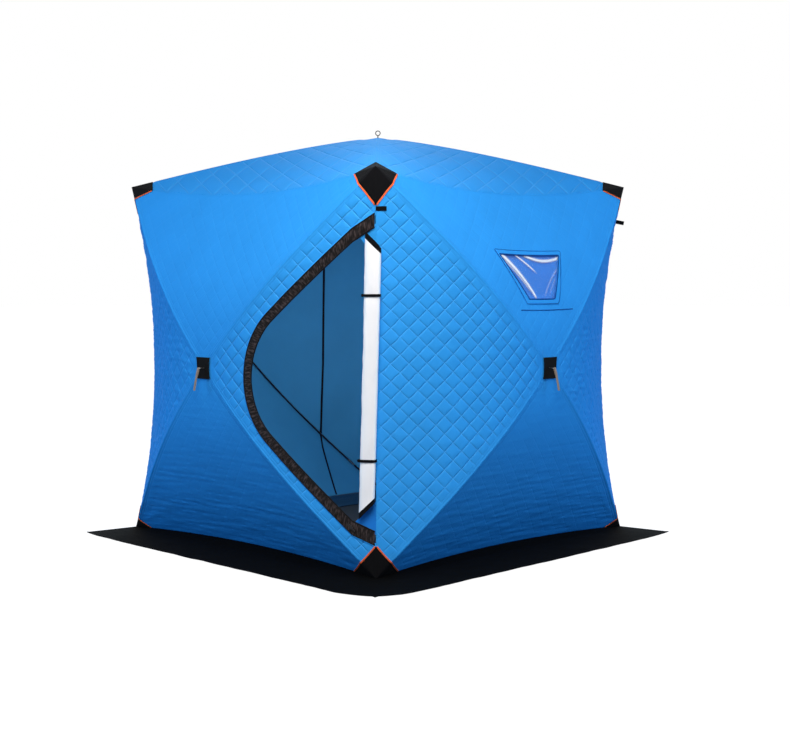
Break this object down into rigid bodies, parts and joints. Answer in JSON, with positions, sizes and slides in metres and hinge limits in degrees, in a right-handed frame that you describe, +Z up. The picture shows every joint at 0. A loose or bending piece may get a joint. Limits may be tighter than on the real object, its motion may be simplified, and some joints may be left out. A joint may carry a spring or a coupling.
{
  "type": "ice fishing shelter",
  "caption": "Square pop-up ice fishing shelter of quilted cloth over hubs and bowed poles, with a zipped corner doorway, rolled flap, clear window, corner caps and ground skirt.",
  "frame": {"origin": "on the ground at the middle of the whole footprint, 28 mm from below the roof hub towards the corner beside the door, because the skirt is spread out along two walls only", "axes": "+Z up, -Y out through the wall with the doorway, +X out through the wall with the window"},
  "size_m": [2.3798, 2.3798, 2.069],
  "materials": {
    "quilted_cloth": "matt quilted polyester, stitched in diamonds",
    "skirt_cloth": "matt coated cloth",
    "skirt_back": "coated back of the skirt's cloth",
    "black_webbing": "coarse matt weave",
    "patch_webbing": "coarse matt weave",
    "hub_plastic": "moulded, satin",
    "pole_fibreglass": "smooth, slightly glossy",
    "strap_tape": "woven tape",
    "door_lining": "soft white lining",
    "zip_nylon": "creased nylon with a slight sheen",
    "slider_metal": "dark lacquer",
    "eye_steel": "dull zinc",
    "window_vinyl": "clear and slack"
  },
  "bodies": {
    "shell": {"corner_cap_back_left": "black_webbing", "corner_cap_back_right": "black_webbing", "corner_cap_front_left": "black_webbing", "corner_cap_front_right": "black_webbing", "corner_foot_back_left": "black_webbing", "corner_foot_back_right": "black_webbing", "corner_foot_front_left": "black_webbing", "corner_foot_front_right": "black_webbing", "door_flap": "door_lining", "door_tie_lower": "black_webbing", "door_tie_upper": "black_webbing", "door_zip_band": "zip_nylon", "guy_tab_back_left": "black_webbing", "guy_tab_back_right": "black_webbing", "guy_tab_front_left": "black_webbing", "guy_tab_front_right": "black_webbing", "roof": "quilted_cloth", "skirt": "skirt_cloth", "skirt_turned_in": "skirt_back", "wall_back": "quilted_cloth", "wall_front": "quilted_cloth", "wall_left": "quilted_cloth", "wall_right": "quilted_cloth", "window_film": "window_vinyl"},
    "front_hub": {"hub_front": "hub_plastic", "hub_patch_front": "patch_webbing"},
    "pole_front_top_left_body": {"pole_front_top_left": "pole_fibreglass"},
    "pole_front_top_right_body": {"pole_front_top_right": "pole_fibreglass"},
    "pole_front_bottom_left_body": {"pole_front_bottom_left": "pole_fibreglass"},
    "pole_front_bottom_right_body": {"pole_front_bottom_right": "pole_fibreglass"},
    "right_hub": {"hub_right": "hub_plastic", "hub_patch_right": "patch_webbing"},
    "pole_right_top_left_body": {"pole_right_top_left": "pole_fibreglass"},
    "pole_right_top_right_body": {"pole_right_top_right": "pole_fibreglass"},
    "pole_right_bottom_left_body": {"pole_right_bottom_left": "pole_fibreglass"},
    "pole_right_bottom_right_body": {"pole_right_bottom_right": "pole_fibreglass"},
    "back_hub": {"hub_back": "hub_plastic", "hub_patch_back": "patch_webbing"},
    "pole_back_top_left_body": {"pole_back_top_left": "pole_fibreglass"},
    "pole_back_top_right_body": {"pole_back_top_right": "pole_fibreglass"},
    "pole_back_bottom_left_body": {"pole_back_bottom_left": "pole_fibreglass"},
    "pole_back_bottom_right_body": {"pole_back_bottom_right": "pole_fibreglass"},
    "left_hub": {"hub_left": "hub_plastic", "hub_patch_left": "patch_webbing"},
    "pole_left_top_left_body": {"pole_left_top_left": "pole_fibreglass"},
    "pole_left_top_right_body": {"pole_left_top_right": "pole_fibreglass"},
    "pole_left_bottom_left_body": {"pole_left_bottom_left": "pole_fibreglass"},
    "pole_left_bottom_right_body": {"pole_left_bottom_right": "pole_fibreglass"},
    "roof_hub": {"hub_roof": "hub_plastic", "roof_eye": "eye_steel"},
    "pole_roof_back_left_body": {"pole_roof_back_left": "pole_fibreglass"},
    "pole_roof_back_right_body": {"pole_roof_back_right": "pole_fibreglass"},
    "pole_roof_front_left_body": {"pole_roof_front_left": "pole_fibreglass"},
    "pole_roof_front_right_body": {"pole_roof_front_right": "pole_fibreglass"},
    "pull_strap_front_body": {"pull_strap_front": "strap_tape"},
    "pull_strap_right_body": {"pull_strap_right": "strap_tape"},
    "pull_strap_back_body": {"pull_strap_back": "strap_tape"},
    "pull_strap_left_body": {"pull_strap_left": "strap_tape"},
    "zip_slider_body": {"zip_slider": "slider_metal"}
  },
  "joints": [
    {"name": "front_hub_pop", "type": "slide", "parent": "shell", "child": "front_hub", "axis": [0, -1, 0], "range_m": [-0.435, 0], "deforming": ["wall_front", "door_zip_band", "hub_patch_front", "corner_cap_front_right", "corner_cap_front_left", "corner_foot_front_right", "corner_foot_front_left"]},
    {"name": "pole_front_top_left_turn", "type": "hinge", "parent": "front_hub", "child": "pole_front_top_left_body", "pos_m": [-0.04356, -1.0963, 0.91181], "axis": [0.7017, 0, 0.7125], "range_deg": [-0.5, 21.48]},
    {"name": "pole_front_top_right_turn", "type": "hinge", "parent": "front_hub", "child": "pole_front_top_right_body", "pos_m": [0.00346, -1.0963, 0.91181], "axis": [0.7017, 0, -0.7125], "range_deg": [-0.5, 21.48]},
    {"name": "pole_front_bottom_left_turn", "type": "hinge", "parent": "front_hub", "child": "pole_front_bottom_left_body", "pos_m": [-0.04356, -1.0963, 0.86549], "axis": [-0.7017, 0, 0.7125], "range_deg": [-0.5, 21.48]},
    {"name": "pole_front_bottom_right_turn", "type": "hinge", "parent": "front_hub", "child": "pole_front_bottom_right_body", "pos_m": [0.00346, -1.0963, 0.86549], "axis": [-0.7017, 0, -0.7125], "range_deg": [-0.5, 21.48]},
    {"name": "right_hub_pop", "type": "slide", "parent": "shell", "child": "right_hub", "axis": [1, 0, 0], "range_m": [-0.435, 0], "deforming": ["wall_right", "window_film", "hub_patch_right"]},
    {"name": "pole_right_top_left_turn", "type": "hinge", "parent": "right_hub", "child": "pole_right_top_left_body", "pos_m": [1.0963, -0.00346, 0.91181], "axis": [0, 0.7017, 0.7125], "range_deg": [-0.5, 21.48]},
    {"name": "pole_right_top_right_turn", "type": "hinge", "parent": "right_hub", "child": "pole_right_top_right_body", "pos_m": [1.0963, 0.04356, 0.91181], "axis": [0, 0.7017, -0.7125], "range_deg": [-0.5, 21.48]},
    {"name": "pole_right_bottom_left_turn", "type": "hinge", "parent": "right_hub", "child": "pole_right_bottom_left_body", "pos_m": [1.0963, -0.00346, 0.86549], "axis": [0, -0.7017, 0.7125], "range_deg": [-0.5, 21.48]},
    {"name": "pole_right_bottom_right_turn", "type": "hinge", "parent": "right_hub", "child": "pole_right_bottom_right_body", "pos_m": [1.0963, 0.04356, 0.86549], "axis": [0, -0.7017, -0.7125], "range_deg": [-0.5, 21.48]},
    {"name": "back_hub_pop", "type": "slide", "parent": "shell", "child": "back_hub", "axis": [0, 1, 0], "range_m": [-0.435, 0], "deforming": ["wall_back", "hub_patch_back", "corner_cap_back_right", "corner_cap_back_left", "corner_foot_back_right", "corner_foot_back_left"]},
    {"name": "pole_back_top_left_turn", "type": "hinge", "parent": "back_hub", "child": "pole_back_top_left_body", "pos_m": [0.00346, 1.1364, 0.91181], "axis": [-0.7017, 0, 0.7125], "range_deg": [-0.5, 21.48]},
    {"name": "pole_back_top_right_turn", "type": "hinge", "parent": "back_hub", "child": "pole_back_top_right_body", "pos_m": [-0.04356, 1.1364, 0.91181], "axis": [-0.7017, 0, -0.7125], "range_deg": [-0.5, 21.48]},
    {"name": "pole_back_bottom_left_turn", "type": "hinge", "parent": "back_hub", "child": "pole_back_bottom_left_body", "pos_m": [0.00346, 1.1364, 0.86549], "axis": [0.7017, 0, 0.7125], "range_deg": [-0.5, 21.48]},
    {"name": "pole_back_bottom_right_turn", "type": "hinge", "parent": "back_hub", "child": "pole_back_bottom_right_body", "pos_m": [-0.04356, 1.1364, 0.86549], "axis": [0.7017, 0, -0.7125], "range_deg": [-0.5, 21.48]},
    {"name": "left_hub_pop", "type": "slide", "parent": "shell", "child": "left_hub", "axis": [-1, 0, 0], "range_m": [-0.435, 0], "deforming": ["wall_left", "hub_patch_left"]},
    {"name": "pole_left_top_left_turn", "type": "hinge", "parent": "left_hub", "child": "pole_left_top_left_body", "pos_m": [-1.1364, 0.04356, 0.91181], "axis": [0, -0.7017, 0.7125], "range_deg": [-0.5, 21.48]},
    {"name": "pole_left_top_right_turn", "type": "hinge", "parent": "left_hub", "child": "pole_left_top_right_body", "pos_m": [-1.1364, -0.00346, 0.91181], "axis": [0, -0.7017, -0.7125], "range_deg": [-0.5, 21.48]},
    {"name": "pole_left_bottom_left_turn", "type": "hinge", "parent": "left_hub", "child": "pole_left_bottom_left_body", "pos_m": [-1.1364, 0.04356, 0.86549], "axis": [0, 0.7017, 0.7125], "range_deg": [-0.5, 21.48]},
    {"name": "pole_left_bottom_right_turn", "type": "hinge", "parent": "left_hub", "child": "pole_left_bottom_right_body", "pos_m": [-1.1364, -0.00346, 0.86549], "axis": [0, 0.7017, -0.7125], "range_deg": [-0.5, 21.48]},
    {"name": "roof_hub_pop", "type": "slide", "parent": "shell", "child": "roof_hub", "axis": [0, 0, 1], "range_m": [-0.471, 0], "deforming": ["roof"]},
    {"name": "pole_roof_back_left_turn", "type": "hinge", "parent": "roof_hub", "child": "pole_roof_back_left_body", "pos_m": [-0.04338, 0.04338, 2.00486], "axis": [0.7071, 0.7071, 0], "range_deg": [-0.5, 22.99]},
    {"name": "pole_roof_back_right_turn", "type": "hinge", "parent": "roof_hub", "child": "pole_roof_back_right_body", "pos_m": [0.00329, 0.04338, 2.00486], "axis": [0.7071, -0.7071, 0], "range_deg": [-0.5, 22.99]},
    {"name": "pole_roof_front_left_turn", "type": "hinge", "parent": "roof_hub", "child": "pole_roof_front_left_body", "pos_m": [-0.04338, -0.00329, 2.00486], "axis": [-0.7071, 0.7071, 0], "range_deg": [-0.5, 22.99]},
    {"name": "pole_roof_front_right_turn", "type": "hinge", "parent": "roof_hub", "child": "pole_roof_front_right_body", "pos_m": [0.00329, -0.00329, 2.00486], "axis": [-0.7071, -0.7071, 0], "range_deg": [-0.5, 22.99]},
    {"name": "front_strap_swing", "type": "hinge", "parent": "front_hub", "child": "pull_strap_front_body", "pos_m": [-0.02005, -1.14525, 0.88865], "axis": [-1, 0, 0], "range_deg": [-12, 150]},
    {"name": "right_strap_swing", "type": "hinge", "parent": "right_hub", "child": "pull_strap_right_body", "pos_m": [1.14525, 0.02005, 0.88865], "axis": [0, -1, 0], "range_deg": [-12, 150]},
    {"name": "back_strap_swing", "type": "hinge", "parent": "back_hub", "child": "pull_strap_back_body", "pos_m": [-0.02005, 1.18535, 0.88865], "axis": [1, 0, 0], "range_deg": [-12, 150]},
    {"name": "left_strap_swing", "type": "hinge", "parent": "left_hub", "child": "pull_strap_left_body", "pos_m": [-1.18535, 0.02005, 0.88865], "axis": [0, 1, 0], "range_deg": [-12, 150]},
    {"name": "zip_slide", "type": "slide", "parent": "shell", "child": "zip_slider_body", "axis": [-0.6709, -0.3085, 0.6743], "range_m": [0, 0.18]}
  ],
  "couplings": [
    {"joint": "pole_front_top_left_turn", "follows": "front_hub_pop", "rad_per_m": -0.84166},
    {"joint": "pole_front_top_right_turn", "follows": "front_hub_pop", "rad_per_m": -0.84166},
    {"joint": "pole_front_bottom_left_turn", "follows": "front_hub_pop", "rad_per_m": -0.84166},
    {"joint": "pole_front_bottom_right_turn", "follows": "front_hub_pop", "rad_per_m": -0.84166},
    {"joint": "pole_right_top_left_turn", "follows": "right_hub_pop", "rad_per_m": -0.84166},
    {"joint": "pole_right_top_right_turn", "follows": "right_hub_pop", "rad_per_m": -0.84166},
    {"joint": "pole_right_bottom_left_turn", "follows": "right_hub_pop", "rad_per_m": -0.84166},
    {"joint": "pole_right_bottom_right_turn", "follows": "right_hub_pop", "rad_per_m": -0.84166},
    {"joint": "pole_back_top_left_turn", "follows": "back_hub_pop", "rad_per_m": -0.84166},
    {"joint": "pole_back_top_right_turn", "follows": "back_hub_pop", "rad_per_m": -0.84166},
    {"joint": "pole_back_bottom_left_turn", "follows": "back_hub_pop", "rad_per_m": -0.84166},
    {"joint": "pole_back_bottom_right_turn", "follows": "back_hub_pop", "rad_per_m": -0.84166},
    {"joint": "pole_left_top_left_turn", "follows": "left_hub_pop", "rad_per_m": -0.84166},
    {"joint": "pole_left_top_right_turn", "follows": "left_hub_pop", "rad_per_m": -0.84166},
    {"joint": "pole_left_bottom_left_turn", "follows": "left_hub_pop", "rad_per_m": -0.84166},
    {"joint": "pole_left_bottom_right_turn", "follows": "left_hub_pop", "rad_per_m": -0.84166},
    {"joint": "pole_roof_back_left_turn", "follows": "roof_hub_pop", "rad_per_m": -0.83326},
    {"joint": "pole_roof_back_right_turn", "follows": "roof_hub_pop", "rad_per_m": -0.83326},
    {"joint": "pole_roof_front_left_turn", "follows": "roof_hub_pop", "rad_per_m": -0.83326},
    {"joint": "pole_roof_front_right_turn", "follows": "roof_hub_pop", "rad_per_m": -0.83326}
  ]
}
